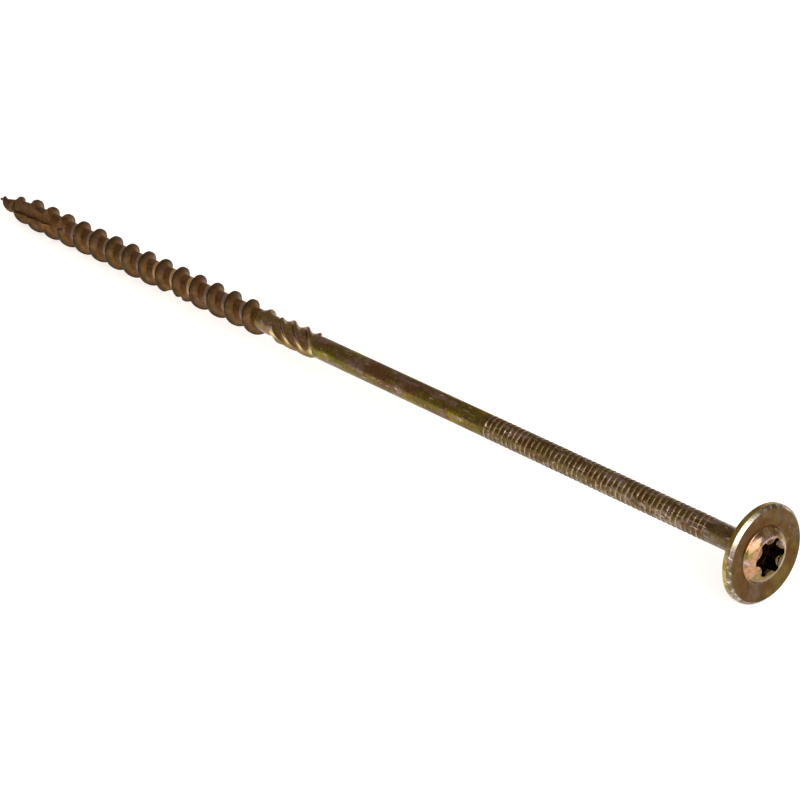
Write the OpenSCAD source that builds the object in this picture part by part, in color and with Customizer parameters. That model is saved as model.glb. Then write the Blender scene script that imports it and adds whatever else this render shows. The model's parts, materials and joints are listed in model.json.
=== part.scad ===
// Washer-head wood screw: a flange with a raised boss and a six-lobed drive, a shank with fine rolled
// rings, short helical cutter ribs, and a coarse right-hand thread with a notched point. One solid.
//
// The screw is drawn upright first, with its axis on Z, its head up and the bearing face at height 0.
// It is then laid down as it comes to rest: the flange's rim and the thread's crest touch the floor.

/* [Shank] */
// Length from the bearing face under the head to the point
screw_length = 271.4; // [240:0.1:400]
// Diameter of the plain shank
shank_d = 5.4; // [5.3:0.05:5.8]
// Plain length between the bearing face and the first ring
neck_length = 13.3; // [8:0.1:25]

/* [Rolled rings] */
// Number of rings
ring_count = 46; // [5:1:50]
// Distance from one ring to the next
ring_pitch = 1.48; // [1:0.02:1.6]
// Width of a ring's land
ring_land = 0.35; // [0.2:0.05:0.5]
// How far a ring stands proud of the plain shank
ring_rise = 0.04; // [0.02:0.01:0.1]
// Depth of the bands between the rings, below the plain shank
ring_depth = 0.1; // [0.05:0.01:0.2]

/* [Head] */
// Diameter of the flange
flange_d = 22; // [18:0.5:28]
// Thickness of the flange at its rim
flange_h = 2; // [1.8:0.05:2.6]
// Chamfer around the flange's outer face
rim_chamfer = 0.75; // [0.3:0.05:1]
// How far the flange's outer face sinks from the rim to the boss
flange_dish = 0.55; // [0.1:0.05:0.7]
// Broken edge around the bearing face
rim_edge = 0.12; // [0.05:0.01:0.3]
// Diameter of the boss where it leaves the flange
boss_d = 12.8; // [12:0.1:16]
// Height of the boss above the flange
boss_h = 1.7; // [1.4:0.05:3]
// How far the boss's flank bulges beyond a straight cone
boss_bulge = 0.25; // [0.05:0.05:0.4]
// Height of the cone that runs from the collar under the flange to the neck
collar_cone_h = 2.4; // [1.5:0.1:4]

/* [Drive] */
// Width of the six-lobed drive across opposite lobes
drive_d = 8.5; // [7.5:0.1:9]
// Width across opposite bumps between the lobes
drive_inner_d = 6.3; // [5.4:0.1:6.8]
// Radius of the bumps between the lobes
drive_bump_r = 1.9; // [1.5:0.1:2.2]
// Depth of the lobes below the top of the boss
drive_depth = 3.4; // [2.5:0.1:4]
// Depth of the cone at the drive's floor
drive_floor_h = 0.8; // [0.3:0.1:1]
// Diameter of the flat at the bottom of that cone
drive_floor_d = 1.6; // [0.5:0.1:3]
// Depth of the cone that leads over the bumps into the drive
mouth_chamfer = 1; // [0.3:0.05:1.1]
// Width of the land between the lobes and the edge of the boss
mouth_land = 0.25; // [0.1:0.05:0.5]
// Wall kept around and under the drive
drive_wall = 0.75; // [0.5:0.05:1.2]

/* [Cutter] */
// Length of the cutter ribs along the screw
cutter_length = 16; // [10:0.5:25]
// Number of ribs
cutter_ribs = 5; // [4:1:8]
// Length in which a rib makes one full turn
cutter_lead = 25; // [20:1:40]
// Diameter over the ribs
cutter_d = 6.7; // [6:0.1:7.5]
// Sharpness of the ribs, from 1 for an even wave
rib_sharpness = 1.5; // [1:0.1:3]
// Length in which a rib rises from the core at each end
cutter_rise = 2.4; // [1.5:0.1:4]
// Plain length between the cutter and the thread
cutter_gap = 0.5; // [0.5:0.5:10]

/* [Thread] */
// Length of the thread, with the point
thread_length = 114.9; // [60:0.1:125]
// Diameter over the thread's crest
thread_d = 7.8; // [7:0.1:9]
// Diameter of the core under the thread and the cutter
core_d = 4.9; // [4.4:0.1:5.1]
// Distance from crest to crest
thread_pitch = 6.9; // [5:0.1:8]
// Width of the crest
crest_w = 0.58; // [0.3:0.02:0.8]
// Length of the flank on the head's side of the crest
head_flank = 1.2; // [0.8:0.1:2]
// Hollowness of that flank, from 1 for a straight one
head_hollow = 1.3; // [1:0.1:2.5]
// Length of the flank on the point's side of the crest
point_flank = 2.4; // [1:0.1:3]
// Hollowness of that flank, from 1 for a straight one
point_hollow = 1.8; // [1:0.1:4]
// Length in which the thread fades out at its upper end
thread_fade = 6; // [2:0.5:8]

/* [Point] */
// Length in which the crest grows from the point to its full diameter
point_length = 14.5; // [12:0.1:30]
// Growth of the crest: the lower, the blunter its start at the point
crest_growth = 0.55; // [0.4:0.05:0.8]
// Length in which the core grows from the point to its full diameter
core_point_length = 18; // [15:1:40]
// Growth of the core: from 1 for a straight cone, the higher the rounder
core_growth = 2.1; // [1:0.05:2.5]
// Diameter of the blunt point
point_d = 0.6; // [0.4:0.1:1]
// Distance from the point to the start of the cutting notch
notch_start = 5; // [4:0.5:8]
// Length in which the notch reaches its full depth
notch_entry = 1.5; // [0.5:0.1:3]
// Distance of the notch's face from the axis where the notch is deepest
notch_offset = 0.75; // [0.3:0.05:1.5]
// Slope of the notch's face away from the axis, in degrees
notch_slope = 5; // [4:0.5:10]
// Distance of the notch's ledge from the axis at the point
notch_ledge = 1.6; // [0.5:0.1:2]
// Slope of the notch's ledge towards the axis, in degrees
notch_taper = 3; // [0:0.5:5]

/* [Turned positions] */
// Angle of the thread's start about the axis
thread_turn = 88; // [0:1:359]
// Angle of the cutter ribs about the axis
cutter_turn = 8; // [0:1:359]
// Angle of the first lobe of the drive about the axis
drive_turn = 30; // [0:1:59]
// Angle of the notch's face about the axis
notch_turn = 250; // [0:1:359]

/* [Hidden] */
$fn = 96;

LOBES = 6;
// Sides around the threaded rod and rows in one pitch, which follow the helix
THREAD_SIDES = 20;
THREAD_ROWS = 12;
// Sides around the cutter for each of its ribs
RIB_SIDES = 6;
// Steps of the boss's rounded flank
BOSS_STEPS = 6;
// How far joined rods run into their neighbours
LAP = 0.5;
// Room by which a cut reaches past what it cuts
REACH = 1;
// How far the drive's cones stay inside its bumps
INSET = 0.1;

face_z = flange_h - flange_dish;
head_top = face_z + boss_h;
boss_top_d = drive_d + 2 * mouth_land;
collar_d = drive_d + 2 * drive_wall;
collar_h = max(drive_depth - head_top + drive_wall, drive_wall);
thread_top = thread_length - screw_length;
cutter_bottom = thread_top + cutter_gap;
cutter_top = cutter_bottom + cutter_length;
gap_d = (core_d + shank_d) / 2;
rings_end = -(neck_length + ring_count * ring_pitch);

// The axis tilts until the rim and the first full crest behind the point touch the floor
rest_crest = thread_pitch * (ceil(point_length / thread_pitch + thread_turn / 360) - thread_turn / 360);
rest_tilt = atan((flange_d - thread_d) / 2 / (screw_length - rest_crest));
head_reach = head_top * cos(rest_tilt) + boss_top_d / 2 * sin(rest_tilt);
point_reach = screw_length * cos(rest_tilt);
rest_shift = (point_reach - head_reach) / 2;
rest_height = flange_d / 2 * cos(rest_tilt) - rim_edge * sin(rest_tilt);

// Rise from 0 to 1 over a length, along half a wave
function ease(x, length) = (1 - cos(180 * min(1, max(0, x / length)))) / 2;

// Radius of the core at a distance from the point: a cone that rounds off into the full core
function core_radius(d) = core_d / 2 * (1 - pow(1 - min(1, d / core_point_length), core_growth));

// Radius of the crest at a distance from the point: a blunt start, then slower growth
function crest_radius(d) = thread_d / 2 * pow(min(1, d / point_length), crest_growth);

// Share of the thread's height at a distance along the axis from the crest, positive towards the point
function thread_section(distance) =
    let (past_crest = abs(distance) - crest_w / 2,
         length = distance > 0 ? point_flank : head_flank,
         hollow = distance > 0 ? point_hollow : head_hollow)
    past_crest <= 0 ? 1 : pow(max(0, 1 - past_crest / length), hollow);

// Radius of the threaded rod at a height and an angle about the axis
function thread_radius(z, angle) =
    let (d = z + screw_length,
         turns = d / thread_pitch - angle / 360,
         crest = ceil(turns - (crest_w / 2 + head_flank) / thread_pitch),
         share = thread_section((crest - turns) * thread_pitch) * ease(thread_top - z, thread_fade),
         core = core_radius(d))
    max(point_d / 2, core + (crest_radius(d) - core) * share);

// Radius of the cutter at a height and an angle about the axis
function cutter_radius(z, angle) =
    let (turned = (angle - 360 * (z - cutter_bottom) / cutter_lead) * cutter_ribs,
         rib = pow((1 + cos(turned)) / 2, rib_sharpness),
         ends = ease(z - cutter_bottom, cutter_rise) * ease(cutter_top - z, cutter_rise))
    (core_d + (cutter_d - core_d) * rib * ends) / 2;

// Closed rod around Z from z0 to z1, with a given radius at each height and angle.
// Each station sits a fixed share of a row above the last one, so that its edges follow a helix.
module helical_rod(z0, z1, row_h, sides, stagger, radius) {
    rows = floor((z1 - z0) / row_h);
    function lift(j) = (j * stagger) % 1;
    function height(i, j) = i == 0 ? z0 : i == rows ? z1 : z0 + (i - 1 / 2 + lift(j)) * row_h;
    function corner(i, j) = i * sides + j % sides;
    points = [for (i = [0 : rows], j = [0 : sides - 1])
        let (z = height(i, j), angle = 360 * j / sides, r = radius(z, angle))
        [r * cos(angle), r * sin(angle), z]];
    walls = [for (i = [0 : rows - 1], j = [0 : sides - 1], half = [0, 1])
        half == 0 ? [corner(i, j), corner(i + 1, j), corner(i + 1, j + 1)]
                  : [corner(i, j), corner(i + 1, j + 1), corner(i, j + 1)]];
    bottom = [for (j = [0 : sides - 1]) corner(0, j)];
    top = [for (j = [sides - 1 : -1 : 0]) corner(rows, j)];
    polyhedron(points = points, faces = concat(walls, [bottom, top]));
}

module head_and_shank() {
    flange_r = flange_d / 2;
    shank_r = shank_d / 2;
    boss_run = (boss_d - boss_top_d) / 2;
    flank = [for (i = [0 : BOSS_STEPS])
        let (t = i / BOSS_STEPS, bulge = boss_bulge * sin(180 * t) / norm([boss_run, boss_h]))
        [boss_d / 2 - boss_run * t + bulge * boss_h, face_z + boss_h * t + bulge * boss_run]];
    slope = ring_rise + ring_depth;
    rings = [for (i = [0 : ring_count - 1])
        let (top = -neck_length - i * ring_pitch, land = shank_r + ring_rise, band = shank_r - ring_depth)
        each [[band, top - slope], [land, top - 2 * slope], [land, top - 2 * slope - ring_land],
              [band, top - 3 * slope - ring_land]]];
    rotate_extrude()
        polygon(concat(
            [[0, cutter_top], [shank_r, cutter_top], [shank_r, rings_end]],
            [for (i = [len(rings) - 1 : -1 : 0]) rings[i]],
            [[shank_r, -neck_length], [shank_r, -collar_h - collar_cone_h], [collar_d / 2, -collar_h],
             [collar_d / 2, 0], [flange_r - rim_edge, 0], [flange_r, rim_edge],
             [flange_r, flange_h - rim_chamfer], [flange_r - rim_chamfer, flange_h]],
            flank,
            [[0, head_top]]));
}

module drive_recess() {
    bump_place = drive_inner_d / 2 + drive_bump_r;
    cone_d = drive_inner_d - 2 * INSET;
    floor_z = head_top - drive_depth;
    translate([0, 0, floor_z])
        rotate(drive_turn)
            linear_extrude(drive_depth + REACH)
                difference() {
                    circle(d = drive_d);
                    for (i = [0 : LOBES - 1])
                        rotate((i + 1 / 2) * 360 / LOBES) translate([bump_place, 0]) circle(r = drive_bump_r);
                }
    translate([0, 0, floor_z - drive_floor_h])
        cylinder(h = drive_floor_h, d1 = drive_floor_d, d2 = cone_d);
    translate([0, 0, head_top - mouth_chamfer])
        cylinder(h = mouth_chamfer, d1 = cone_d, d2 = min(drive_inner_d + 2 * mouth_chamfer, drive_d));
}

module cutter() {
    rib_row = cutter_lead / (cutter_ribs * RIB_SIDES);
    rotate(cutter_turn)
        helical_rod(cutter_bottom - LAP, cutter_top + LAP, rib_row, cutter_ribs * RIB_SIDES, 0,
                    function(z, angle) cutter_radius(z, angle));
}

// Groove with a ledge on one side: steep where it starts behind the point, then sloping out of the core
module notch() {
    entry_end = notch_start + notch_entry;
    slope_run = (thread_d - notch_offset) / tan(notch_slope);
    rotate(notch_turn)
        translate([0, notch_ledge, -screw_length])
            rotate([90 + notch_taper, 0, 0])
                linear_extrude(thread_d)
                    polygon([[thread_d / 2, notch_start], [notch_offset, entry_end],
                             [thread_d, entry_end + slope_run], [thread_d, notch_start]]);
}

module thread() {
    difference() {
        rotate(thread_turn)
            helical_rod(-screw_length, thread_top + LAP, thread_pitch / THREAD_ROWS, THREAD_SIDES,
                        THREAD_ROWS / THREAD_SIDES, function(z, angle) thread_radius(z, angle));
        notch();
    }
}

module upright_screw() {
    difference() {
        head_and_shank();
        drive_recess();
    }
    cutter();
    translate([0, 0, thread_top]) cylinder(h = cutter_gap, d = gap_d);
    thread();
}

module screw() {
    color([0.42, 0.31, 0.17])
        translate([rest_shift, 0, rest_height])
            rotate([0, 90 - rest_tilt, 0])
                upright_screw();
}

screw();
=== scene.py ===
# %% [markdown]
# This lesson builds a long wood screw with a wide washer head. The plain turned shape comes first,
# then what is rolled and cut into it, then its yellow plating, and last the table that it lies on.
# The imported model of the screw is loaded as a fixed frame. It gives the screw's place and tilt.

# %% Load the frame
import json
import math

import bpy
from mathutils import Matrix, Vector


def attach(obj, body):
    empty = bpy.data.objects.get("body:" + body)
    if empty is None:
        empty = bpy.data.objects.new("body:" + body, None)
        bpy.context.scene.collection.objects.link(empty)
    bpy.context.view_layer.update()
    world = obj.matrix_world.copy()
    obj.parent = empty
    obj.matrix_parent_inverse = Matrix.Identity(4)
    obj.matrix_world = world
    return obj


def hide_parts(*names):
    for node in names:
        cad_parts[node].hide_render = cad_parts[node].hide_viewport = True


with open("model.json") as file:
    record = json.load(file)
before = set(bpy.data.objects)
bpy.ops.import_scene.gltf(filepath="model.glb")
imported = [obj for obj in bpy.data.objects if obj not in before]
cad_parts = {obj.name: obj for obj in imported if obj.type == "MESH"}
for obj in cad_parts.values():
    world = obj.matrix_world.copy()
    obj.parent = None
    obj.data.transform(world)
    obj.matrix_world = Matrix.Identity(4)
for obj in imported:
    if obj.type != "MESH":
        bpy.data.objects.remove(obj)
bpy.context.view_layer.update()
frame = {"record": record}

# %% [markdown]
# A screw is drawn most easily upright: its axis on Z, its head up, and the face that bears on the timber
# at height 0. The frame's own mounts then say where that face lies and how far the screw leans when it
# rests on its rim and its thread. Sizes are in millimetres, and MM turns them into Blender's metres.

# %% Where the screw lies
MM = 0.001
mounts = {mount["name"]: mount for mount in frame["record"]["mounts"]}
axis = -Vector(mounts["bearing_face"]["axis"])
face_place = mounts["bearing_face"]["pos_m"]
seat = Vector((face_place[0], 0, face_place[2]))
rest_tilt = math.asin(axis.normalized().z)
lay_down = Matrix.Translation(seat) @ Matrix.Rotation(math.pi / 2 - rest_tilt, 4, "Y")
print(f"bearing face at {seat / MM} mm, axis tilted {math.degrees(rest_tilt):.2f} degrees")

# %% [markdown]
# The camera looks down on the screw from beside its head with a long lens, so the head comes out larger
# than the point. Its place was worked out from the ellipse of the flange and the even steps of the thread.
# A camera with no roll needs only a place, a heading and how far it looks down.

# %% Camera
CAMERA_FROM_SEAT = Vector((0.3718, -0.4233, 0.3137))
CAMERA_HEADING = math.radians(48.785)
CAMERA_DOWN = math.radians(26.53)
LENS = 140.7
SENSOR = 36.0

bpy.ops.object.select_all(action="DESELECT")
bpy.ops.object.camera_add(
    location=seat + CAMERA_FROM_SEAT, rotation=(math.pi / 2 - CAMERA_DOWN, 0, CAMERA_HEADING)
)
camera = bpy.context.object
camera.data.lens = LENS
camera.data.sensor_width = SENSOR
bpy.context.scene.camera = camera
print("camera at", tuple(camera.location))

# %% [markdown]
# The head, the rings and the shank are round, so each can be drawn as half an outline and spun about Z.
# The outline starts as one vertex, which is extruded from point to point as by hand. After the spin the
# doubled seam is merged and the faces are turned outwards.

# %% Draw and spin an outline
SIDES = 96
WELD = 0.0005 * MM


def draw_outline(name, outline):
    """Draw a chain of edges through (radius, height) points, and stay in edit mode."""
    places = [Vector((radius, 0, height)) * MM for radius, height in outline]
    bpy.ops.object.select_all(action="DESELECT")
    bpy.ops.mesh.primitive_plane_add(size=MM)
    piece = bpy.context.object
    piece.name = name
    bpy.ops.object.mode_set(mode="EDIT")
    bpy.ops.mesh.select_mode(type="VERT")
    bpy.ops.mesh.select_all(action="SELECT")
    bpy.ops.mesh.merge(type="CENTER")
    bpy.ops.transform.translate(value=places[0])
    for start, end in zip(places, places[1:]):
        bpy.ops.mesh.extrude_region_move(TRANSFORM_OT_translate={"value": end - start})
    return piece


def spin_outline(name, outline):
    """Spin an outline of (radius, height) points once round the Z axis."""
    piece = draw_outline(name, outline)
    bpy.ops.mesh.select_all(action="SELECT")
    bpy.ops.mesh.spin(steps=SIDES, angle=math.tau, center=(0, 0, 0), axis=(0, 0, 1))
    bpy.ops.mesh.select_all(action="SELECT")
    bpy.ops.mesh.remove_doubles(threshold=WELD)
    bpy.ops.mesh.normals_make_consistent(inside=False)
    bpy.ops.object.mode_set(mode="OBJECT")
    print(name, "has", len(piece.data.polygons), "faces")
    return piece


def radius_of(place):
    """Distance of a place from the Z axis, in millimetres."""
    return math.hypot(place.x, place.y) / MM


# %% [markdown]
# The head is upset from the wire in one blow: a thin wide flange that stands in for a washer, and a boss
# with room for the driver. Its outline runs from the middle of the boss over the rim to the neck. The
# flange's face sinks a little from the rim to the boss, whose flank is a cone that bulges by half a wave.

# %% Head
FLANGE_R = 11.0
FLANGE_H = 2.0
FLANGE_DISH = 0.55
RIM_CHAMFER = 0.75
RIM_EDGE = 0.12
BOSS_R = 6.4
BOSS_H = 1.7
BOSS_BULGE = 0.25
BOSS_STEPS = 10
DRIVE_R = 4.25
MOUTH_LAND = 0.25
COLLAR_R = 5.0
COLLAR_H = 1.0
COLLAR_CONE_H = 2.4
SHANK_R = 2.7
NECK_LENGTH = 13.3

face_z = FLANGE_H - FLANGE_DISH
head_top = face_z + BOSS_H
mouth_r = DRIVE_R + MOUTH_LAND
boss_run = BOSS_R - mouth_r
flank_length = math.hypot(boss_run, BOSS_H)


def boss_flank(t):
    """Point on the boss's flank, from its mouth at t = 0 to its foot at t = 1."""
    bulge = BOSS_BULGE * math.sin(math.pi * t) / flank_length
    return (mouth_r + boss_run * t + bulge * BOSS_H, head_top - BOSS_H * t + bulge * boss_run)


head_outline = [(0, head_top)]
head_outline += [boss_flank(i / BOSS_STEPS) for i in range(BOSS_STEPS + 1)]
head_outline += [
    (FLANGE_R - RIM_CHAMFER, FLANGE_H),
    (FLANGE_R, FLANGE_H - RIM_CHAMFER),
    (FLANGE_R, RIM_EDGE),
    (FLANGE_R - RIM_EDGE, 0),
    (COLLAR_R, 0),
    (COLLAR_R, -COLLAR_H),
    (SHANK_R, -COLLAR_H - COLLAR_CONE_H),
    (SHANK_R, -NECK_LENGTH),
]
head = spin_outline("plated_screw", head_outline)

# %% [markdown]
# No pressed edge is perfectly sharp. The circles where the outline turns are picked by their radius and
# height and bevelled, each by the width that the real edge has, so that they catch the light.

# %% Round the head's edges
NEAR = 0.01
BEVEL_SEGMENTS = 3
BOSS_FOOT_ROUND = 0.3
RIM_ROUND = 0.08
COLLAR_TOP_ROUND = 0.25
COLLAR_FOOT_ROUND = 0.3
NECK_ROUND = 0.8


def round_circle(piece, radius, height, width):
    """Bevel the circle of edges at one radius and height."""
    for vertex in piece.data.vertices:
        off_radius = abs(radius_of(vertex.co) - radius)
        vertex.select = off_radius < NEAR and abs(vertex.co.z / MM - height) < NEAR
    bpy.ops.object.mode_set(mode="EDIT")
    bpy.ops.mesh.select_mode(type="VERT")
    bpy.ops.mesh.bevel(offset=width * MM, segments=BEVEL_SEGMENTS, affect="EDGES")
    bpy.ops.object.mode_set(mode="OBJECT")


def clear_selection(piece):
    """Deselect every vertex, edge and face of a mesh."""
    for part in (piece.data.polygons, piece.data.edges, piece.data.vertices):
        part.foreach_set("select", [False] * len(part))


for circle in (
    (BOSS_R, face_z, BOSS_FOOT_ROUND),
    (FLANGE_R - RIM_CHAMFER, FLANGE_H, RIM_ROUND),
    (FLANGE_R, FLANGE_H - RIM_CHAMFER, RIM_ROUND),
    (COLLAR_R, 0, COLLAR_TOP_ROUND),
    (COLLAR_R, -COLLAR_H, COLLAR_FOOT_ROUND),
    (SHANK_R, -COLLAR_H - COLLAR_CONE_H, NECK_ROUND),
):
    clear_selection(head)
    round_circle(head, *circle)
print("rounded head has", len(head.data.polygons), "faces")

# %% [markdown]
# Fine rings are rolled into the upper shank to hold it in the timber. One ring is drawn and spun, and an
# Array modifier repeats it down the shank and merges each copy with the next.

# %% Rolled rings
RING_COUNT = 46
RING_PITCH = 1.48
RING_LAND = 0.35
RING_RISE = 0.04
RING_DEPTH = 0.1

ring_slope = RING_RISE + RING_DEPTH
band_r = SHANK_R - RING_DEPTH
land_r = SHANK_R + RING_RISE
rings_top = -NECK_LENGTH - ring_slope
rings_end = rings_top - RING_COUNT * RING_PITCH

ring_outline = [
    (band_r, rings_top),
    (land_r, rings_top - ring_slope),
    (land_r, rings_top - ring_slope - RING_LAND),
    (band_r, rings_top - 2 * ring_slope - RING_LAND),
    (band_r, rings_top - RING_PITCH),
]
rings = spin_outline("rings", ring_outline)
repeat = rings.modifiers.new("repeat", "ARRAY")
repeat.count = RING_COUNT
repeat.use_relative_offset = False
repeat.use_constant_offset = True
repeat.constant_offset_displace = (0, 0, -RING_PITCH * MM)
repeat.use_merge_vertices = True
repeat.merge_threshold = WELD
bpy.ops.object.modifier_apply(modifier=repeat.name)
print("rings have", len(rings.data.polygons), "faces")

# %% [markdown]
# Two short spun pieces close the gaps: the step from the neck into the first ring, and the plain shank
# below the rings, which ends at the core that the cutter and the thread are rolled on.

# %% Plain shank
SCREW_LENGTH = 271.4
THREAD_LENGTH = mounts["threaded_shank"]["dims"]["length_mm"]
CORE_R = 2.45
CUTTER_GAP = 0.5
CUTTER_LENGTH = 16.0
CORE_STEP = 0.3

thread_top = THREAD_LENGTH - SCREW_LENGTH
cutter_bottom = thread_top + CUTTER_GAP
shank_end = cutter_bottom + CUTTER_LENGTH
cutter_top = shank_end - CORE_STEP

neck_step = spin_outline("neck_step", [(SHANK_R, -NECK_LENGTH), (band_r, rings_top)])
shank_outline = [
    (band_r, rings_end),
    (SHANK_R, rings_end - ring_slope),
    (SHANK_R, shank_end),
    (CORE_R, cutter_top),
]
shank = spin_outline("shank", shank_outline)

# %% [markdown]
# The cutter is a short length of steep ribs that widens the hole for the shank. A circle is extruded row
# by row into a tube, and each vertex is then pushed out by a wave that runs round the axis and climbs
# along it. The wave is eased in at both ends, as the rolling die runs out.

# %% Cutter ribs
CUTTER_R = 3.35
CUTTER_RIBS = 5
CUTTER_LEAD = 25.0
CUTTER_RISE = 2.4
CUTTER_TURN = math.radians(8)
RIB_SHARPNESS = 1.5
CUTTER_ROWS = 72


def ease(x, length):
    """Rise from 0 to 1 over a length, along half a wave."""
    return (1 - math.cos(math.pi * min(1, max(0, x / length)))) / 2


def rib_share(angle, height):
    """Share of a rib's height at an angle and a height."""
    climb = math.tau * (height - cutter_bottom) / CUTTER_LEAD
    wave = (1 + math.cos((angle - CUTTER_TURN - climb) * CUTTER_RIBS)) / 2
    ends = ease(height - cutter_bottom, CUTTER_RISE) * ease(cutter_top - height, CUTTER_RISE)
    return ends * wave**RIB_SHARPNESS


bpy.ops.object.select_all(action="DESELECT")
bpy.ops.mesh.primitive_circle_add(vertices=SIDES, radius=CORE_R * MM, location=(0, 0, 0))
cutter = bpy.context.object
cutter.name = "cutter"
row_step = (cutter_top - cutter_bottom) / CUTTER_ROWS * MM
bpy.ops.object.mode_set(mode="EDIT")
bpy.ops.mesh.select_all(action="SELECT")
bpy.ops.transform.rotate(value=math.pi / 2, orient_axis="Z", center_override=(0, 0, 0))
bpy.ops.transform.translate(value=(0, 0, cutter_bottom * MM))
for row in range(CUTTER_ROWS):
    bpy.ops.mesh.extrude_region_move(TRANSFORM_OT_translate={"value": (0, 0, row_step)})
bpy.ops.object.mode_set(mode="OBJECT")
for vertex in cutter.data.vertices:
    share = rib_share(math.atan2(vertex.co.y, vertex.co.x), vertex.co.z / MM)
    grown = 1 + share * (CUTTER_R - CORE_R) / CORE_R
    vertex.co.xy = vertex.co.xy * grown
print("cutter has", len(cutter.data.polygons), "faces")

# %% [markdown]
# The thread is coarse: a narrow crest, a steep flank towards the head, which holds the timber, a longer
# hollow flank towards the point, and a plain root. One pitch of this section is drawn, and a Screw
# modifier winds it up the axis. It serves all the way: near the point, and where the thread fades out,
# only its height changes.

# %% Thread section, wound by a Screw modifier
THREAD_R = mounts["threaded_shank"]["dims"]["r_mm"]
PITCH = 6.9
CREST_W = 0.58
HEAD_FLANK = 1.2
HEAD_HOLLOW = 1.3
POINT_FLANK = 2.4
POINT_HOLLOW = 1.8
FLANK_STEPS = 8
FLANK_CROWDING = 1.5
ROOT_STEPS = 12
TURN_STEPS = 72
THREAD_TURN = math.radians(88)
SPARE_TURNS = 1

thread_h = THREAD_R - CORE_R
first_crest = -SCREW_LENGTH - SPARE_TURNS * PITCH
turns = math.ceil(THREAD_LENGTH / PITCH) + 2 * SPARE_TURNS
root_start = first_crest + CREST_W / 2 + HEAD_FLANK
root_step = (PITCH - CREST_W - HEAD_FLANK - POINT_FLANK) / ROOT_STEPS


def flank_points(direction, length, hollow):
    """Points of one flank from the crest's edge to the root, closer together near the crest."""
    points = []
    for i in range(FLANK_STEPS + 1):
        share = (i / FLANK_STEPS) ** FLANK_CROWDING
        drop = (1 - share) ** hollow
        points.append((CORE_R + thread_h * drop, first_crest + direction * (CREST_W / 2 + length * share)))
    return points


point_side = flank_points(-1, POINT_FLANK, POINT_HOLLOW)
head_side = flank_points(1, HEAD_FLANK, HEAD_HOLLOW)
root = [(CORE_R, root_start + root_step * (i + 1)) for i in range(ROOT_STEPS)]
thread = draw_outline("thread", point_side[::-1] + head_side + root)
bpy.ops.object.mode_set(mode="OBJECT")
wind = thread.modifiers.new("wind", "SCREW")
wind.axis = "Z"
wind.angle = math.tau
wind.screw_offset = PITCH * MM
wind.iterations = turns
wind.steps = TURN_STEPS
wind.render_steps = TURN_STEPS
wind.use_merge_vertices = True
wind.merge_threshold = WELD
bpy.ops.object.modifier_apply(modifier=wind.name)
thread.rotation_euler.z = THREAD_TURN
bpy.ops.object.transform_apply(location=False, rotation=True, scale=False)
print("thread has", len(thread.data.polygons), "faces in", turns, "turns")

# %% [markdown]
# At the point the core is a cone, while the crest starts blunt and soon reaches its full height. At the
# upper end the thread fades into the core. Each vertex keeps its share of the thread's height, and only
# the core and the crest that it lies between change along the screw. Two crests were knocked flat for a
# few millimetres, so there the share is held down.

# %% Shape the point and the run-out
POINT_LENGTH = 14.5
CREST_GROWTH = 0.55
CORE_POINT_LENGTH = 18.0
CORE_GROWTH = 2.1
POINT_R = 0.3
THREAD_FADE = 6.0
# Height, angle in degrees, half width in degrees and depth of each knock
KNOCKS = ((-197.7, 346, 20, 1.1), (-191.0, 319, 11, 1.1))
KNOCK_REACH = 2.6
SOFT_FADE = 2
FLAT_FADE = 4


def core_radius(distance):
    """Radius of the core at a distance from the point."""
    reached = min(1, max(0, distance / CORE_POINT_LENGTH))
    return CORE_R * (1 - (1 - reached) ** CORE_GROWTH)


def crest_radius(distance):
    """Radius of the crest at a distance from the point."""
    return THREAD_R * min(1, max(0, distance / POINT_LENGTH)) ** CREST_GROWTH


def fade_aside(angle, middle, half_width, power):
    """Fall from 1 to 0 on both sides of a middle angle, in degrees. A higher power gives a flatter top."""
    off = (angle - middle + 180) % 360 - 180
    return math.exp(-((off / half_width) ** power))


def knocked_share(angle, height):
    """Greatest share of the thread's height that the knocks leave at a place."""
    left = 1.0
    for knock_height, knock_angle, half_width, depth in KNOCKS:
        if abs(height - knock_height) < KNOCK_REACH:
            lost = depth / thread_h * fade_aside(angle, knock_angle, half_width, FLAT_FADE)
            left = min(left, 1 - lost)
    return left


for vertex in thread.data.vertices:
    radius = radius_of(vertex.co)
    height = vertex.co.z / MM
    angle = math.degrees(math.atan2(vertex.co.y, vertex.co.x))
    distance = height + SCREW_LENGTH
    share = (radius - CORE_R) / thread_h * ease(thread_top - height, THREAD_FADE)
    share = min(share, knocked_share(angle, height))
    core = core_radius(distance)
    shaped = max(POINT_R, core + (crest_radius(distance) - core) * share)
    vertex.co.xy = vertex.co.xy * (shaped / radius)

for height, at_point in ((-SCREW_LENGTH, True), (thread_top, False)):
    bpy.ops.object.mode_set(mode="EDIT")
    bpy.ops.mesh.select_all(action="SELECT")
    bpy.ops.mesh.bisect(
        plane_co=(0, 0, height * MM),
        plane_no=(0, 0, 1),
        use_fill=at_point,
        clear_inner=at_point,
        clear_outer=not at_point,
    )
    bpy.ops.object.mode_set(mode="OBJECT")
print("trimmed thread has", len(thread.data.polygons), "faces")

# %% [markdown]
# The pieces meet in circles. They are joined into one mesh, the doubled circles are merged, and the last
# gap, between the cutter and the thread, is closed with a bridge of faces. The bridge also leaves inner
# faces in the core of the cutter and of the thread, and the printed count of odd edges comes from them.

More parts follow.
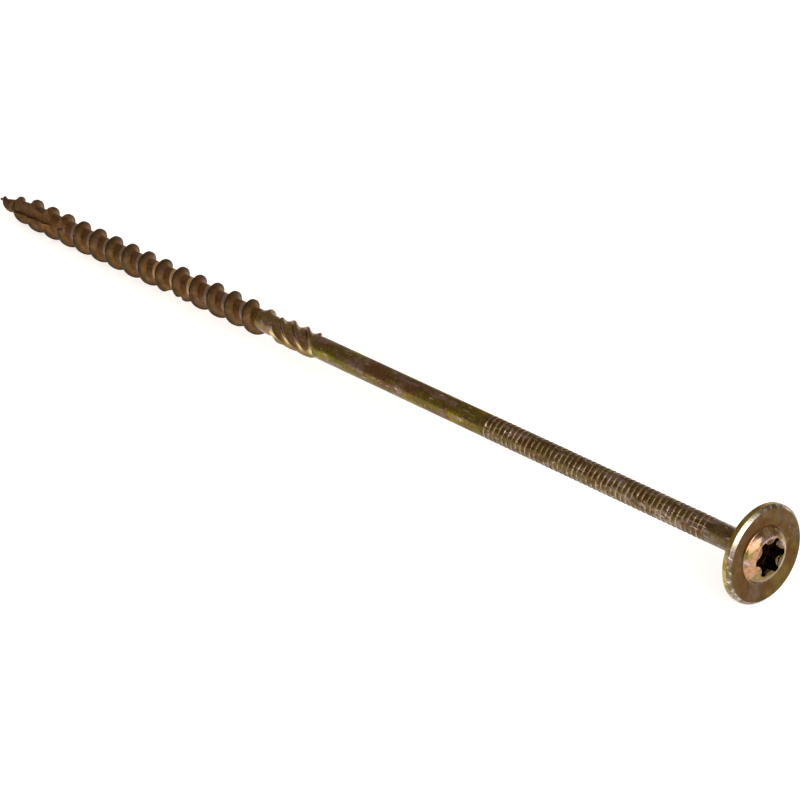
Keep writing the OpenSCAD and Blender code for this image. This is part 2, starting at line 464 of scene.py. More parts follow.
# %% Join the pieces into one screw
bpy.ops.object.select_all(action="DESELECT")
for piece in (neck_step, rings, shank, cutter, thread, head):
    piece.select_set(True)
bpy.context.view_layer.objects.active = head
bpy.ops.object.join()
screw = head
bpy.ops.object.mode_set(mode="EDIT")
bpy.ops.mesh.select_all(action="SELECT")
bpy.ops.mesh.remove_doubles(threshold=WELD)
bpy.ops.mesh.select_mode(type="EDGE")
bpy.ops.mesh.select_all(action="DESELECT")
bpy.ops.mesh.select_non_manifold(use_wire=False, use_multi_face=False, use_verts=False)
bpy.ops.mesh.bridge_edge_loops()
bpy.ops.mesh.select_all(action="SELECT")
bpy.ops.mesh.normals_make_consistent(inside=False)
bpy.ops.mesh.select_all(action="DESELECT")
bpy.ops.mesh.select_non_manifold()
bpy.ops.object.mode_set(mode="OBJECT")
odd_edges = sum(edge.select for edge in screw.data.edges)
print("screw has", len(screw.data.polygons), "faces and", odd_edges, "edges not between two faces")

# %% [markdown]
# The driver fits a recess with six lobes. Its outline is a circle that six round bumps reach into, so a
# circle's vertices are moved to that outline and extruded into a plug, which a Boolean modifier takes out
# of the head. A cone below it makes the floor, and a cone at the mouth leads the driver over the bumps.

# %% Plugs for the drive recess
DRIVE_INNER_R = 3.15
DRIVE_BUMP_R = 1.9
DRIVE_DEPTH = 3.4
DRIVE_FLOOR_H = 0.8
DRIVE_FLOOR_R = 0.8
MOUTH_CHAMFER = 1.0
DRIVE_TURN = math.radians(30)
LOBES = 6
LOBE_SIDES = 32
PLUG_INSET = 0.1
PLUG_REACH = 1.0

drive_floor = head_top - DRIVE_DEPTH
bump_place = DRIVE_INNER_R + DRIVE_BUMP_R


def lobed_radius(angle):
    """Radius of the drive's outline at an angle from the middle of a lobe."""
    from_bump = (angle % (math.tau / LOBES)) - math.pi / LOBES
    aside = bump_place * math.sin(from_bump)
    if abs(aside) >= DRIVE_BUMP_R:
        return DRIVE_R
    return min(DRIVE_R, bump_place * math.cos(from_bump) - math.sqrt(DRIVE_BUMP_R**2 - aside**2))


def add_cone(name, bottom, height, low_r, high_r):
    """Add a closed cone that stands on a given height."""
    bpy.ops.object.select_all(action="DESELECT")
    bpy.ops.mesh.primitive_cone_add(
        vertices=SIDES,
        radius1=low_r * MM,
        radius2=high_r * MM,
        depth=height * MM,
        location=(0, 0, (bottom + height / 2) * MM),
    )
    bpy.context.object.name = name
    return bpy.context.object


bpy.ops.object.select_all(action="DESELECT")
bpy.ops.mesh.primitive_circle_add(vertices=LOBES * LOBE_SIDES, radius=DRIVE_R * MM, fill_type="NGON")
lobes_plug = bpy.context.object
lobes_plug.name = "lobes_plug"
for vertex in lobes_plug.data.vertices:
    angle = math.atan2(vertex.co.y, vertex.co.x)
    vertex.co.xy = vertex.co.xy * (lobed_radius(angle - DRIVE_TURN) / DRIVE_R)
    vertex.co.z = drive_floor * MM
bpy.ops.object.mode_set(mode="EDIT")
bpy.ops.mesh.select_all(action="SELECT")
plug_length = (DRIVE_DEPTH + PLUG_REACH) * MM
bpy.ops.mesh.extrude_region_move(TRANSFORM_OT_translate={"value": (0, 0, plug_length)})
bpy.ops.mesh.select_all(action="SELECT")
bpy.ops.mesh.normals_make_consistent(inside=False)
bpy.ops.object.mode_set(mode="OBJECT")

cone_r = DRIVE_INNER_R - PLUG_INSET
floor_plug = add_cone("floor_plug", drive_floor - DRIVE_FLOOR_H, DRIVE_FLOOR_H, DRIVE_FLOOR_R, cone_r)
lead_in_r = min(DRIVE_INNER_R + MOUTH_CHAMFER, DRIVE_R)
mouth_plug = add_cone("mouth_plug", head_top - MOUTH_CHAMFER, MOUTH_CHAMFER, cone_r, lead_in_r)
print("recess floor at", drive_floor, "mm, mouth at", head_top, "mm")

# %% [markdown]
# A notch is cut behind the point, so that it bites into timber without a pilot hole. Its face drops
# steeply behind the first crest and then slopes out of the core, with a ledge on one side. Such a groove
# is a flat outline of four corners, drawn along the axis and extruded across it.

# %% Plug for the cutting notch
NOTCH_START = 5.0
NOTCH_ENTRY = 1.5
NOTCH_OFFSET = 0.75
NOTCH_SLOPE = math.radians(5)
NOTCH_LEDGE = 1.6
NOTCH_TAPER = math.radians(3)
NOTCH_TURN = math.radians(250)
NOTCH_W = 8.0

notch_deep = NOTCH_START + NOTCH_ENTRY
notch_end = notch_deep + (NOTCH_W - NOTCH_OFFSET) / math.tan(NOTCH_SLOPE)
notch_outline = [
    (THREAD_R, NOTCH_START),
    (NOTCH_OFFSET, notch_deep),
    (NOTCH_W, notch_end),
    (NOTCH_W, NOTCH_START),
]
notch_plug = draw_outline("notch_plug", notch_outline)
bpy.ops.mesh.select_all(action="SELECT")
bpy.ops.mesh.edge_face_add()
bpy.ops.mesh.extrude_region_move(TRANSFORM_OT_translate={"value": (0, -NOTCH_W * MM, 0)})
bpy.ops.mesh.select_all(action="SELECT")
bpy.ops.mesh.normals_make_consistent(inside=False)
bpy.ops.object.mode_set(mode="OBJECT")
notch_plug.matrix_world = (
    Matrix.Rotation(NOTCH_TURN, 4, "Z")
    @ Matrix.Translation(Vector((0, NOTCH_LEDGE, -SCREW_LENGTH)) * MM)
    @ Matrix.Rotation(NOTCH_TAPER, 4, "X")
)
print("notch runs from", NOTCH_START, "to", round(notch_end, 1), "mm behind the point")

# %% [markdown]
# The four plugs are taken out of the screw one after the other, as a press and a cutter would do it. A
# Boolean modifier does this without remodelling the head. The exact solver is chosen because faces lie in
# one plane where the floor's cone meets the lobed plug. It still leaves edges with more than two faces
# there, and some open edges near the mouth.

# %% Cut the recess and the notch
for plug in (lobes_plug, floor_plug, mouth_plug, notch_plug):
    bpy.ops.object.select_all(action="DESELECT")
    screw.select_set(True)
    bpy.context.view_layer.objects.active = screw
    cut = screw.modifiers.new("cut", "BOOLEAN")
    cut.operation = "DIFFERENCE"
    cut.solver = "EXACT"
    cut.object = plug
    bpy.ops.object.modifier_apply(modifier=cut.name)
    bpy.data.objects.remove(plug)
    print("after a cut the screw has", len(screw.data.polygons), "faces")

# %% [markdown]
# The plating differs from place to place, and some of its colours are painted light: a painted highlight on
# one side of the rim's chamfer, ring lines painted paler, partly as wear and partly as a painted highlight,
# painted shade in the recess and on the thread, and a painted reflection on the thread's point side. Faces
# get a finish by their place, and two values are stored on each vertex: how far it stands out of the rolled
# surface around it, and how strong the painted sheen is there.

# %% Finishes by place
HEAD_FINISHES = ("flange", "boss", "rim", "chamfer", "mouth", "recess")
SHANK_FINISHES = ("rings", "shank", "cutter", "runout", "thread")
FINISHES = HEAD_FINISHES + SHANK_FINISHES
RUNOUT_LENGTH = 5.2


def finish_at(place):
    """Name of the finish at a place on the upright screw."""
    radius = radius_of(place)
    height = place.z / MM
    for name, top in (
        ("thread", thread_top - RUNOUT_LENGTH),
        ("runout", cutter_bottom),
        ("cutter", shank_end),
        ("shank", rings_end),
        ("rings", -COLLAR_H - COLLAR_CONE_H),
    ):
        if height < top:
            return name
    if radius > FLANGE_R - NEAR:
        return "rim"
    if radius > FLANGE_R - RIM_CHAMFER and height > FLANGE_H / 2:
        return "chamfer"
    if radius < DRIVE_R and height < head_top - NEAR:
        return "mouth" if height > head_top - MOUTH_CHAMFER and radius > DRIVE_INNER_R else "recess"
    if radius < BOSS_R and height > face_z + NEAR:
        return "boss"
    return "flange"


for name in FINISHES:
    screw.data.materials.append(bpy.data.materials.new(name + "_plating"))
for face in screw.data.polygons:
    face.material_index = FINISHES.index(finish_at(face.center))
counts = [sum(face.material_index == i for face in screw.data.polygons) for i in range(len(FINISHES))]
print("faces of each finish:", dict(zip(FINISHES, counts)))

# %% [markdown]
# The painted shade and sheen, like the paler ring lines, follow the rolled form, so both values are worked
# out from the sizes that made the shape: the height above the core or the bands, and the distance past a
# crest. They could be painted by hand, but would then stay behind when a size changes. As attributes they
# reach the materials without a UV map.

# %% Heights and painted sheen on the vertices
# Where the painted reflection lies on each turn, measured past the crest, and how it dims near the point
PALE_START = 3.75
PALE_FULL = 4.1
PALE_TO_CREST = 0.3
PALE_END = PITCH - CREST_W / 2 - PALE_TO_CREST
PALE_EDGE = 0.4
PALE_AT_POINT = 0.3
# The point takes part of the thread's painted shade, fading out behind it
DARK_AT_POINT = 0.55
POINT_DARK = 18.0
POINT_FADE = 10.0
NOTCH_REACH = 30.0
GROOVE_SHARPNESS = 3
# Side of the screw where the painted glints lie in the cutter's lower grooves
GLINT_ANGLE = 286
GLINT_WIDTH = 20
# Side of the rim's chamfer where a painted highlight lies
RIM_GLINT_ANGLE = 216
RIM_GLINT_WIDTH = 24


def in_notch(place):
    """Whether a place lies on the faces of the cutting notch."""
    turned = Matrix.Rotation(-NOTCH_TURN, 3, "Z") @ place / MM
    along = turned.z + SCREW_LENGTH
    near_face = turned.x > NOTCH_OFFSET - NEAR and turned.y < NOTCH_LEDGE + NEAR
    return near_face and NOTCH_START < along < NOTCH_REACH


def past_crest(place):
    """Distance along the axis from the crest below a place, towards the head."""
    turns_up = (place.z / MM + SCREW_LENGTH) / PITCH
    return (turns_up - (math.atan2(place.y, place.x) - THREAD_TURN) / math.tau) % 1 * PITCH


def standing_height(place):
    """How far a place stands out of the surface around it, from 0 to 1. The point counts as half out, so
    that it takes part of the thread's painted shade.
    """
    radius = radius_of(place)
    height = place.z / MM
    if height < thread_top:
        core = core_radius(height + SCREW_LENGTH)
        full = crest_radius(height + SCREW_LENGTH)
        share = 0.0 if in_notch(place) else (radius - core) / max(full - core, NEAR)
        at_point = 1 - ease(height + SCREW_LENGTH - POINT_DARK, POINT_FADE)
        return min(1, max(DARK_AT_POINT * at_point, share))
    if height < cutter_top:
        return (radius - CORE_R) / (CUTTER_R - CORE_R)
    if rings_end < height < rings_top:
        return (radius - band_r) / (land_r - band_r)
    return 0.0


def painted_sheen_at(place):
    """How strong the painted sheen is, from 0 to 1: a painted reflection on the thread's point side, a
    painted glint in the cutter's lower grooves and a painted highlight on one side of the rim's chamfer.
    """
    height = place.z / MM
    angle = math.degrees(math.atan2(place.y, place.x))
    if height < thread_top:
        if in_notch(place):
            return 0.0
        # A painted reflection on the point side of each turn
        beyond = past_crest(place)
        share = ease(beyond - PALE_START, PALE_FULL - PALE_START) * ease(PALE_END - beyond, PALE_EDGE)
        behind = ease(height + SCREW_LENGTH - POINT_DARK, POINT_FADE)
        return share * (PALE_AT_POINT + (1 - PALE_AT_POINT) * behind)
    if height < cutter_top:
        # A painted glint in the grooves, on one side of the cutter
        groove = 1 - rib_share(math.atan2(place.y, place.x), height)
        return groove**GROOVE_SHARPNESS * fade_aside(angle, GLINT_ANGLE, GLINT_WIDTH, SOFT_FADE)
    if height > 0 and radius_of(place) > FLANGE_R - RIM_CHAMFER - NEAR:
        # A painted highlight on one side of the rim's chamfer
        return fade_aside(angle, RIM_GLINT_ANGLE, RIM_GLINT_WIDTH, FLAT_FADE)
    return 0.0


for name, measure in (("standing", standing_height), ("pale", painted_sheen_at)):
    stored = screw.data.attributes.new(name, "FLOAT", "POINT")
    values = [measure(vertex.co) for vertex in screw.data.vertices]
    stored.data.foreach_set("value", values)
    print(name, "runs from", round(min(values), 3), "to", round(max(values), 3))

# %% [markdown]
# The screw is now laid down where the frame lies. Its place goes into the mesh, so the object itself sits
# at the origin, unturned, as every piece of this model does.

# %% Lay the screw down
SMOOTH_ANGLE = math.radians(38)

bpy.ops.object.select_all(action="DESELECT")
screw.select_set(True)
bpy.context.view_layer.objects.active = screw
screw.matrix_world = lay_down
bpy.ops.object.transform_apply(location=True, rotation=True, scale=True)
bpy.ops.object.shade_smooth_by_angle(angle=SMOOTH_ANGLE)
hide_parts("screw")
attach(screw, "root")
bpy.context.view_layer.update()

# %% [markdown]
# Yellow zinc is a clear gold film over grey metal. Where the film is thicker or thinner it turns brown,
# olive, pink or lilac, in soft patches along the wire. A node group makes such patches from noise, in the
# screw's own coordinates, and each finish gives it its own four colours.

# %% Node helpers
# A Mix node has a set of sockets for each kind of data, and these are the ones for colours
MIX_FACTOR = 0
MIX_FIRST = 6
MIX_SECOND = 7
MIX_RESULT = 2


def add_node(tree, kind, **settings):
    """Add a node to a tree and set its properties."""
    node = tree.nodes.new(kind)
    for name, value in settings.items():
        setattr(node, name, value)
    return node


def new_group(name, inputs, outputs):
    """Start a shader node group with named sockets, and return its tree and its two end nodes."""
    tree = bpy.data.node_groups.new(name, "ShaderNodeTree")
    for socket, kind, value in inputs:
        made = tree.interface.new_socket(socket, in_out="INPUT", socket_type=kind)
        made.default_value = value
    for socket, kind in outputs:
        tree.interface.new_socket(socket, in_out="OUTPUT", socket_type=kind)
    return tree, tree.nodes.new("NodeGroupInput"), tree.nodes.new("NodeGroupOutput")


def screw_coordinates(tree):
    """Object coordinates turned so that Z runs along the screw, measured from the bearing face."""
    coordinates = add_node(tree, "ShaderNodeTexCoord")
    turn = add_node(tree, "ShaderNodeMapping", vector_type="TEXTURE")
    turn.inputs["Location"].default_value = seat
    turn.inputs["Rotation"].default_value = (0, math.pi / 2 - rest_tilt, 0)
    tree.links.new(coordinates.outputs["Object"], turn.inputs["Vector"])
    return turn.outputs["Vector"]


def noise(tree, vector, scale, stretch=(1, 1, 1), shift=(0, 0, 0), detail=3.0, distortion=0.0):
    """Noise with a number of features to the metre, stretched along the screw's own axes."""
    mapping = add_node(tree, "ShaderNodeMapping")
    mapping.inputs["Scale"].default_value = stretch
    mapping.inputs["Location"].default_value = shift
    tree.links.new(vector, mapping.inputs["Vector"])
    texture = add_node(tree, "ShaderNodeTexNoise")
    texture.inputs["Scale"].default_value = scale
    texture.inputs["Detail"].default_value = detail
    texture.inputs["Distortion"].default_value = distortion
    tree.links.new(mapping.outputs["Vector"], texture.inputs["Vector"])
    return texture.outputs["Fac"]


def between(tree, value, low, high, to_low=0.0, to_high=1.0):
    """A value taken from one range to another, smoothly and with no overshoot."""
    node = add_node(tree, "ShaderNodeMapRange", interpolation_type="SMOOTHSTEP")
    for socket, number in (("From Min", low), ("From Max", high), ("To Min", to_low), ("To Max", to_high)):
        node.inputs[socket].default_value = number
    tree.links.new(value, node.inputs["Value"])
    return node.outputs["Result"]


def feed(tree, socket, value):
    """Give an input socket a link to another socket, or a plain value."""
    if isinstance(value, bpy.types.NodeSocket):
        tree.links.new(value, socket)
    else:
        socket.default_value = value


def mix(tree, factor, first, second, blend="MIX"):
    """Mix two colours, each a socket or a plain colour."""
    node = add_node(tree, "ShaderNodeMix", data_type="RGBA", blend_type=blend)
    for place, value in ((MIX_FACTOR, factor), (MIX_FIRST, first), (MIX_SECOND, second)):
        feed(tree, node.inputs[place], value)
    return node.outputs[MIX_RESULT]


def combine(tree, first, second, operation="MULTIPLY"):
    """Combine two values, each a socket or a number."""
    node = add_node(tree, "ShaderNodeMath", operation=operation)
    for socket, value in zip(node.inputs, (first, second)):
        feed(tree, socket, value)
    return node.outputs["Value"]


# %% [markdown]
# The group is built once and placed in each finish. Three noises, drawn out along the wire, lay olive,
# gold and lilac over brown in turn. A finer noise varies the brightness, and one more the dullness.

# %% Group of plating colours
WHITE = (1, 1, 1, 1)
BASE_COLOUR = "Brown"
# Colour, features to the metre, shift of the noise, and the noise where a patch starts and where it is full
PATCHES = (
    ("Olive", 260, (0.3, 0.1, 0.2), 0.44, 0.56),
    ("Gold", 330, (0.7, 0.5, 0.9), 0.51, 0.61),
    ("Lilac", 300, (0.2, 0.8, 0.4), 0.53, 0.65),
)
PATCH_COLOURS = (BASE_COLOUR, *(patch[0] for patch in PATCHES))
PATCH_STRETCH = (1, 1, 0.35)
MOTTLE_SCALE = 1400
MOTTLE_NOISE = (0.25, 0.75)
MOTTLE_BRIGHTNESS = (0.72, 1.22)
DULL_SCALE = 700
DULL_NOISE = (0.3, 0.75)

patches, patches_in, patches_out = new_group(
    "plating_colours",
    [(name, "NodeSocketColor", WHITE) for name in PATCH_COLOURS] + [("Fineness", "NodeSocketFloat", 1.0)],
    [("Color", "NodeSocketColor"), ("Dullness", "NodeSocketFloat")],
)
finer = add_node(patches, "ShaderNodeVectorMath", operation="SCALE")
patches.links.new(screw_coordinates(patches), finer.inputs["Vector"])
patches.links.new(patches_in.outputs["Fineness"], finer.inputs["Scale"])
along = finer.outputs["Vector"]
tint = patches_in.outputs[BASE_COLOUR]
for name, scale, shift, starts, full in PATCHES:
    mask = between(patches, noise(patches, along, scale, PATCH_STRETCH, shift), starts, full)
    tint = mix(patches, mask, tint, patches_in.outputs[name])
mottle_noise = noise(patches, along, MOTTLE_SCALE, detail=5.0)
mottle = between(patches, mottle_noise, *MOTTLE_NOISE, *MOTTLE_BRIGHTNESS)
mottle_colour = add_node(patches, "ShaderNodeCombineColor")
for channel in ("Red", "Green", "Blue"):
    patches.links.new(mottle, mottle_colour.inputs[channel])
tint = mix(patches, 1.0, tint, mottle_colour.outputs["Color"], "MULTIPLY")
patches.links.new(tint, patches_out.inputs["Color"])
dull = between(patches, noise(patches, along, DULL_SCALE, detail=4.0), *DULL_NOISE)
patches.links.new(dull, patches_out.inputs["Dullness"])
print("plating colours group has", len(patches.nodes), "nodes")

# %% [markdown]
# Screws tumble against each other in plating and packing, which leaves short pale scuffs. They are where
# a fine noise, drawn out along the screw, passes a high threshold. The group gives their mask, and a
# height for a shallow bump of scuffs and plating grain.

# %% Group of scuffs
FLECK_SCALE = 900
FLECK_STRETCH = (1, 1, 0.5)
FLECK_SHIFT = (0.1, 0.6, 0.3)
FLECK_NOISE = (0.64, 0.74)
SCRATCH_SCALE = 1500
SCRATCH_STRETCH = (1.6, 1.6, 0.12)
SCRATCH_SHIFT = (0.5, 0.2, 0.8)
SCRATCH_NOISE = (0.68, 0.76)
GRAIN_SCALE = 4000

scuffs, scuffs_in, scuffs_out = new_group(
    "scuffs",
    [("Amount", "NodeSocketFloat", 0.5)],
    [("Mask", "NodeSocketFloat"), ("Height", "NodeSocketFloat")],
)
along = screw_coordinates(scuffs)
flecks = noise(scuffs, along, FLECK_SCALE, FLECK_STRETCH, FLECK_SHIFT, detail=2.0, distortion=0.6)
flecks = between(scuffs, flecks, *FLECK_NOISE)
scratches = noise(scuffs, along, SCRATCH_SCALE, SCRATCH_STRETCH, SCRATCH_SHIFT, detail=1.0)
scratches = between(scuffs, scratches, *SCRATCH_NOISE)
marks = combine(scuffs, flecks, scratches, "MAXIMUM")
scuffs.links.new(combine(scuffs, marks, scuffs_in.outputs["Amount"]), scuffs_out.inputs["Mask"])
grain = noise(scuffs, along, GRAIN_SCALE)
scuffs.links.new(combine(scuffs, grain, marks, "SUBTRACT"), scuffs_out.inputs["Height"])
print("scuffs group has", len(scuffs.nodes), "nodes")

# %% [markdown]
# Each finish is a metal whose colour comes from the two groups. What stands out of the surface, such as a
# ring or a crest, takes a colour of its own, through the heights stored on the vertices; on the thread this
# colour is painted shade. The stored painted sheen is laid over that in another colour, which turns to a
# painted gold glint along one stretch of the thread.

# %% Plating materials
# Stretch of thread where the painted reflection becomes a painted gold glint
GOLD_FROM = -206 * MM
GOLD_TO = -181 * MM
GOLD_FADE = 5 * MM
UNEVEN_SCALE = 900
UNEVEN_NOISE = (0.44, 0.6)
BUMP_DEPTH = 0.05 * MM


def gold_glint_stretch(tree):
    """Mask of the stretch of thread where the painted reflection turns into a painted gold glint."""
    split = add_node(tree, "ShaderNodeSeparateXYZ")
    tree.links.new(screw_coordinates(tree), split.inputs["Vector"])
    starts = between(tree, split.outputs["Z"], GOLD_FROM, GOLD_FROM + GOLD_FADE)
    stops = between(tree, split.outputs["Z"], GOLD_TO - GOLD_FADE, GOLD_TO, 1.0, 0.0)
    return combine(tree, starts, stops)


def lay_high_colour(tree, colour, high_colour, starts_at, least):
    """Lay a colour, unevenly, over what stands out from a given height upwards."""
    stands = add_node(tree, "ShaderNodeAttribute", attribute_name="standing")
    patchy = noise(tree, screw_coordinates(tree), UNEVEN_SCALE)
    uneven = between(tree, patchy, *UNEVEN_NOISE, least, 1.0)
    mask = combine(tree, between(tree, stands.outputs["Fac"], starts_at, 1.0), uneven)
    return mix(tree, mask, colour, (*high_colour, 1))


def lay_painted_sheen(tree, colour, pale_colour, gold_colour):
    """Lay the painted sheen over a colour, with a painted gold glint on a stretch where a gold colour is
    given.
    """
    sheen_attribute = add_node(tree, "ShaderNodeAttribute", attribute_name="pale")
    sheen_colour = (*pale_colour, 1)
    if gold_colour:
        sheen_colour = mix(tree, gold_glint_stretch(tree), sheen_colour, (*gold_colour, 1))
    return mix(tree, sheen_attribute.outputs["Fac"], colour, sheen_colour)


def plating(
    name, colours, roughness, scuff_colour, scuff_amount, grain,
    fineness=1.0, high=None, pale=None, gold=None,
):
    """Build one finish from four patch colours. High is a colour, where it starts and its least share."""
    material = bpy.data.materials[name + "_plating"]
    material.use_nodes = True
    tree = material.node_tree
    shader = tree.nodes["Principled BSDF"]
    shader.inputs["Metallic"].default_value = 1.0
    base = add_node(tree, "ShaderNodeGroup", node_tree=patches)
    base.inputs["Fineness"].default_value = fineness
    for socket, patch_colour in zip(PATCH_COLOURS, colours):
        base.inputs[socket].default_value = (*patch_colour, 1)
    wear = add_node(tree, "ShaderNodeGroup", node_tree=scuffs)
    wear.inputs["Amount"].default_value = scuff_amount
    colour = base.outputs["Color"]
    if high:
        colour = lay_high_colour(tree, colour, *high)
    if pale:
        colour = lay_painted_sheen(tree, colour, pale, gold)
    colour = mix(tree, wear.outputs["Mask"], colour, (*scuff_colour, 1))
    tree.links.new(colour, shader.inputs["Base Color"])
    dullness = between(tree, base.outputs["Dullness"], 0.0, 1.0, *roughness)
    tree.links.new(dullness, shader.inputs["Roughness"])
    bump = add_node(tree, "ShaderNodeBump")
    bump.inputs["Strength"].default_value = grain
    bump.inputs["Distance"].default_value = BUMP_DEPTH
    tree.links.new(wear.outputs["Height"], bump.inputs["Height"])
    tree.links.new(bump.outputs["Normal"], shader.inputs["Normal"])


# %% [markdown]
# Each finish is one call, with its brown, olive, gold and lilac in that order. The flange is smooth and
# dark, the boss is paler and pinkish, and the rim is yellow. The rim's chamfer is grainy and scuffed, with
# a painted highlight on one side, and the mouth and the recess are painted nearly black as shade, with some
# gold.

# %% Finishes of the head
plating(
    "flange",
    [(0.1, 0.044, 0.008), (0.125, 0.078, 0.018), (0.11, 0.058, 0.01), (0.12, 0.074, 0.034)],
    roughness=(0.16, 0.3),
    scuff_colour=(0.45, 0.36, 0.24),
    scuff_amount=0.15,
    grain=0.12,
    fineness=0.4,
)
plating(
    "boss",
    [(0.22, 0.135, 0.055), (0.27, 0.21, 0.07), (0.46, 0.26, 0.15), (0.46, 0.35, 0.33)],
    roughness=(0.18, 0.3),
    scuff_colour=(0.6, 0.45, 0.34),
    scuff_amount=0.2,
    grain=0.15,
)
plating(
    "rim",
    [(0.28, 0.2, 0.035), (0.3, 0.235, 0.035), (0.4, 0.34, 0.12), (0.34, 0.28, 0.16)],
    roughness=(0.25, 0.45),
    scuff_colour=(0.7, 0.66, 0.5),
    scuff_amount=0.3,
    grain=0.4,
)
plating(
    "chamfer",
    [(0.15, 0.11, 0.065), (0.19, 0.165, 0.1), (0.42, 0.39, 0.3), (0.24, 0.17, 0.17)],
    roughness=(0.2, 0.4),
    scuff_colour=(0.85, 0.83, 0.76),
    scuff_amount=0.7,
    grain=0.8,
    fineness=3.0,
    # This pale colour is a painted highlight on one side of the chamfer
    pale=(0.66, 0.62, 0.5),
)
# The mouth and the recess are painted nearly black, as shade
plating(
    "mouth",
    [(0.05, 0.028, 0.01), (0.07, 0.045, 0.014), (0.36, 0.21, 0.06), (0.15, 0.1, 0.075)],
    roughness=(0.2, 0.35),
    scuff_colour=(0.6, 0.45, 0.2),
    scuff_amount=0.3,
    grain=0.2,
)
plating(
    "recess",
    [(0.05, 0.028, 0.01), (0.06, 0.036, 0.012), (0.3, 0.17, 0.04), (0.1, 0.06, 0.04)],
    roughness=(0.2, 0.35),
    scuff_colour=(0.5, 0.33, 0.12),
    scuff_amount=0.2,
    grain=0.3,
)
print("head finishes:", HEAD_FINISHES)

# %% [markdown]
# The ring lines are paler, partly as wear and partly as a painted highlight, and the scuffs are strongest
# there. The plain shank shows its yellow and lilac patches openly. The cutter has painted glints in its
# lower grooves. The thread is the dullest part, with painted shade on its crests, flanks and point, and a
# painted reflection on the point side of each turn.

# %% Finishes of the shank and the thread
plating(
    "rings",
    [(0.115, 0.066, 0.026), (0.13, 0.098, 0.03), (0.15, 0.108, 0.042), (0.24, 0.18, 0.145)],
    roughness=(0.25, 0.45),
    scuff_colour=(0.5, 0.43, 0.36),
    scuff_amount=1.0,
    grain=0.6,
    fineness=2.2,
    # Paler ring lands: partly wear, partly a painted highlight
    high=((0.4, 0.29, 0.17), 0.75, 0.05),
)
plating(
    "shank",
    [(0.155, 0.09, 0.04), (0.16, 0.13, 0.027), (0.225, 0.185, 0.02), (0.235, 0.165, 0.14)],
    roughness=(0.25, 0.42),
    scuff_colour=(0.5, 0.44, 0.37),
    scuff_amount=0.8,
    grain=0.5,
)
plating(
    "cutter",
    [(0.16, 0.1, 0.04), (0.2, 0.14, 0.045), (0.24, 0.16, 0.05), (0.26, 0.17, 0.11)],
    roughness=(0.2, 0.35),
    scuff_colour=(0.5, 0.4, 0.26),
    scuff_amount=0.3,
    grain=0.3,
    high=((0.2, 0.13, 0.07), 0.5, 0.5),
    # This pale colour is a painted glint in the cutter's lower grooves
    pale=(0.85, 0.66, 0.3),
)
plating(
    "runout",
    [(0.2, 0.14, 0.055), (0.22, 0.17, 0.05), (0.3, 0.2, 0.08), (0.3, 0.2, 0.15)],
    roughness=(0.3, 0.5),
    scuff_colour=(0.5, 0.4, 0.26),
    scuff_amount=0.3,
    grain=0.3,
    high=((0.14, 0.08, 0.03), 0.4, 0.5),
)
plating(
    "thread",
    [(0.18, 0.088, 0.03), (0.17, 0.098, 0.032), (0.22, 0.115, 0.042), (0.2, 0.11, 0.066)],
    roughness=(0.5, 0.68),
    scuff_colour=(0.4, 0.27, 0.16),
    scuff_amount=0.15,
    grain=0.3,
    # This dark colour on the crests, flanks and point is painted shade
    high=((0.055, 0.04, 0.02), 0.15, 0.75),
    # This pale colour is a painted reflection on the point side of each turn
    pale=(0.35, 0.25, 0.19),
    # This gold is a painted glint along one stretch of the thread
    gold=(0.66, 0.46, 0.23),
)
print("finishes:", [material.name for material in screw.data.materials])

# %% [markdown]
# The screw lies on a plain pale table. The table is white paint under the lamps, and for the camera and
# for reflections it also glows, which brings it up to white and still keeps the screw's shadow.

# %% Table
TABLE_SIZE = 6.0
TABLE_WHITE = (0.86, 0.86, 0.86, 1)
TABLE_GLOW = 0.7

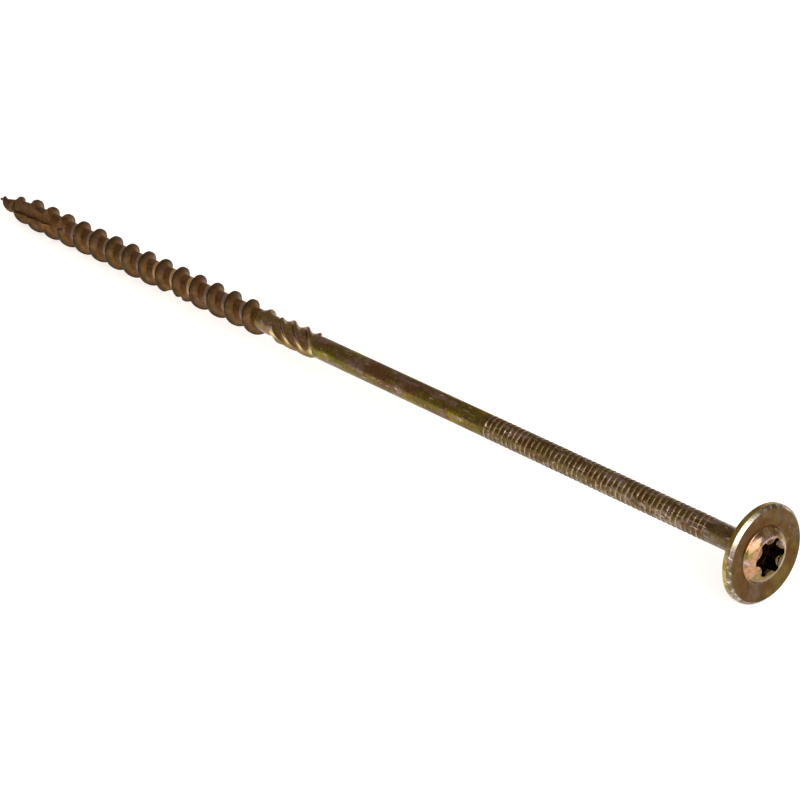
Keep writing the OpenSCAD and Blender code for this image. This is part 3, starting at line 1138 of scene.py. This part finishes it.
bpy.ops.object.select_all(action="DESELECT")
bpy.ops.mesh.primitive_plane_add(size=TABLE_SIZE, location=(0, 0, 0))
table = bpy.context.object
table.name = "table"
paint = bpy.data.materials.new("table_paint")
paint.use_nodes = True
tree = paint.node_tree
tree.nodes.remove(tree.nodes["Principled BSDF"])
matt = add_node(tree, "ShaderNodeBsdfDiffuse")
matt.inputs["Color"].default_value = TABLE_WHITE
path = add_node(tree, "ShaderNodeLightPath")
seen = combine(tree, path.outputs["Is Camera Ray"], path.outputs["Is Glossy Ray"], "MAXIMUM")
seen = combine(tree, seen, path.outputs["Is Transmission Ray"], "MAXIMUM")
glow = add_node(tree, "ShaderNodeEmission")
tree.links.new(combine(tree, seen, TABLE_GLOW), glow.inputs["Strength"])
glowing_paint = add_node(tree, "ShaderNodeAddShader")
tree.links.new(matt.outputs["BSDF"], glowing_paint.inputs[0])
tree.links.new(glow.outputs["Emission"], glowing_paint.inputs[1])
tree.links.new(glowing_paint.outputs["Shader"], tree.nodes["Material Output"].inputs["Surface"])
table.data.materials.append(paint)
print("table is", TABLE_SIZE, "m wide")

# %% [markdown]
# Metal shows what surrounds it. A dim, warm room above keeps the upper half of the wire dark, and the
# pale table lights its lower half. A large soft panel to the right of the camera gives the reflections on
# the boss and the rim, and a weaker one behind the screw lifts its upper edge.

# %% Room and lamps
ROOM = (0.42, 0.33, 0.27, 1)
ROOM_STRENGTH = 1.0
SCREW_MIDDLE = (0, 0, 0.01)

world = bpy.data.worlds.new("room")
world.use_nodes = True
background = world.node_tree.nodes["Background"]
background.inputs["Color"].default_value = ROOM
background.inputs["Strength"].default_value = ROOM_STRENGTH
bpy.context.scene.world = world


def soft_panel(name, target, azimuth, elevation, distance, width, height, radiance):
    """Add an area lamp that faces a target from a direction, as bright as a given radiance."""
    around = math.radians(azimuth)
    above = math.radians(elevation)
    way = Vector((math.cos(around) * math.cos(above), math.sin(around) * math.cos(above), math.sin(above)))
    place = Vector(target) + way * distance
    bpy.ops.object.select_all(action="DESELECT")
    bpy.ops.object.light_add(type="AREA", location=place, rotation=way.to_track_quat("Z", "Y").to_euler())
    lamp = bpy.context.object
    lamp.name = name
    lamp.data.shape = "RECTANGLE"
    lamp.data.size = width
    lamp.data.size_y = height
    lamp.data.energy = radiance * math.pi * width * height


soft_panel(
    "key_panel", seat, azimuth=-22, elevation=28, distance=0.72, width=0.84, height=0.54, radiance=2.8
)
soft_panel(
    "back_panel", SCREW_MIDDLE, azimuth=100, elevation=12, distance=1.0, width=0.9, height=0.2, radiance=1.1
)

# %% [markdown]
# The Standard view shows colours as they were set, with no film curve over them.

bpy.context.scene.view_settings.view_transform = "Standard"
